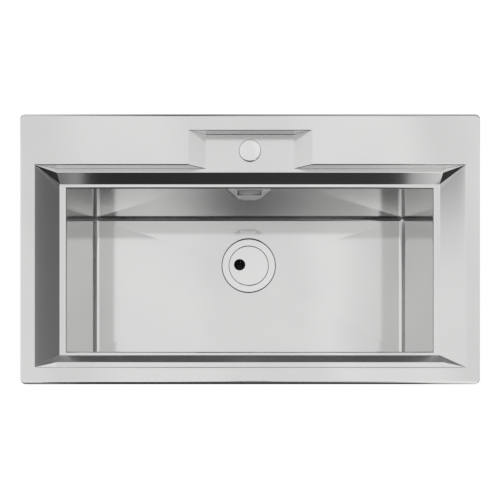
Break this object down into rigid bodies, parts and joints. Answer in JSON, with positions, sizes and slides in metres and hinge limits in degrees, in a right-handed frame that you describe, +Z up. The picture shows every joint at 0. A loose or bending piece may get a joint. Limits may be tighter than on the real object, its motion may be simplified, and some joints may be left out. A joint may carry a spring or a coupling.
{
  "type": "kitchen sink",
  "caption": "Inset stainless steel kitchen sink: wide bowl in a stepped recess, tap ledge with a blanked tap hole, covered waste, overflow and swinging fixing clips.",
  "frame": {"origin": "middle of the rim, at the level of the worktop that the rim's seal rests on", "axes": "+X along the rim to the user's right, +Y to the tap ledge at the back, +Z up"},
  "size_m": [0.86, 0.505, 0.294],
  "materials": {
    "satin_steel": "fine satin brushed stainless steel",
    "zinc_steel": "dull zinc-plated steel",
    "foam_seal": "matt closed-cell foam",
    "black_rubber": "matt rubber",
    "grey_plastic": "moulded plastic, slightly glossy",
    "black_plastic": "moulded plastic, matt",
    "sound_pad": "matt bitumen felt"
  },
  "bodies": {
    "sink": {"sink_deck": "satin_steel", "sink_bowl": "satin_steel", "rim_seal": "foam_seal", "rail_front": "zinc_steel", "rail_back": "zinc_steel", "rail_left": "zinc_steel", "rail_right": "zinc_steel", "clip_bolts": "zinc_steel", "clip_nuts": "zinc_steel", "tap_hole_plate": "zinc_steel", "waste_gasket": "black_rubber", "waste_under_gasket": "black_rubber", "waste_flange": "satin_steel", "waste_screw": "satin_steel", "waste_housing": "grey_plastic", "overflow_cover": "satin_steel", "overflow_fixing_plate": "satin_steel", "overflow_screws": "satin_steel", "overflow_gasket": "black_rubber", "overflow_elbow": "grey_plastic", "overflow_pipe": "grey_plastic", "union_nut_top": "grey_plastic", "union_nut_bottom": "grey_plastic", "pad_floor_left": "sound_pad", "pad_floor_right": "sound_pad", "pad_wall_front": "sound_pad", "pad_wall_left": "sound_pad", "pad_wall_right": "sound_pad"},
    "tap_cap": {"tap_hole_cover": "satin_steel", "tap_cover_seal": "black_rubber"},
    "strainer": {"waste_cover": "satin_steel", "strainer_basket": "black_plastic"},
    "clip_front_left": {"claw_front_left": "zinc_steel"},
    "clip_front_middle": {"claw_front_middle": "zinc_steel"},
    "clip_front_right": {"claw_front_right": "zinc_steel"},
    "clip_back_left": {"claw_back_left": "zinc_steel"},
    "clip_back_middle": {"claw_back_middle": "zinc_steel"},
    "clip_back_right": {"claw_back_right": "zinc_steel"},
    "clip_left": {"claw_left": "zinc_steel"},
    "clip_right": {"claw_right": "zinc_steel"}
  },
  "joints": [
    {"name": "tap_cap_lift", "type": "slide", "parent": "sink", "child": "tap_cap", "axis": [0, 0, 1], "range_m": [0, 0.12]},
    {"name": "strainer_lift", "type": "slide", "parent": "sink", "child": "strainer", "axis": [0, 0, 1], "range_m": [0, 0.24]},
    {"name": "clip_front_left_swing", "type": "hinge", "parent": "sink", "child": "clip_front_left", "pos_m": [-0.29029, -0.2345, -0.044], "axis": [0, 0, -1], "range_deg": [0, 90]},
    {"name": "clip_front_middle_swing", "type": "hinge", "parent": "sink", "child": "clip_front_middle", "pos_m": [0, -0.2345, -0.044], "axis": [0, 0, -1], "range_deg": [0, 90]},
    {"name": "clip_front_right_swing", "type": "hinge", "parent": "sink", "child": "clip_front_right", "pos_m": [0.29029, -0.2345, -0.044], "axis": [0, 0, -1], "range_deg": [0, 90]},
    {"name": "clip_back_left_swing", "type": "hinge", "parent": "sink", "child": "clip_back_left", "pos_m": [-0.29029, 0.2345, -0.044], "axis": [0, 0, 1], "range_deg": [0, 90]},
    {"name": "clip_back_middle_swing", "type": "hinge", "parent": "sink", "child": "clip_back_middle", "pos_m": [0, 0.2345, -0.044], "axis": [0, 0, 1], "range_deg": [0, 90]},
    {"name": "clip_back_right_swing", "type": "hinge", "parent": "sink", "child": "clip_back_right", "pos_m": [0.29029, 0.2345, -0.044], "axis": [0, 0, 1], "range_deg": [0, 90]},
    {"name": "clip_left_swing", "type": "hinge", "parent": "sink", "child": "clip_left", "pos_m": [-0.412, -0.02, -0.044], "axis": [0, 0, 1], "range_deg": [0, 90]},
    {"name": "clip_right_swing", "type": "hinge", "parent": "sink", "child": "clip_right", "pos_m": [0.412, -0.02, -0.044], "axis": [0, 0, -1], "range_deg": [0, 90]}
  ]
}
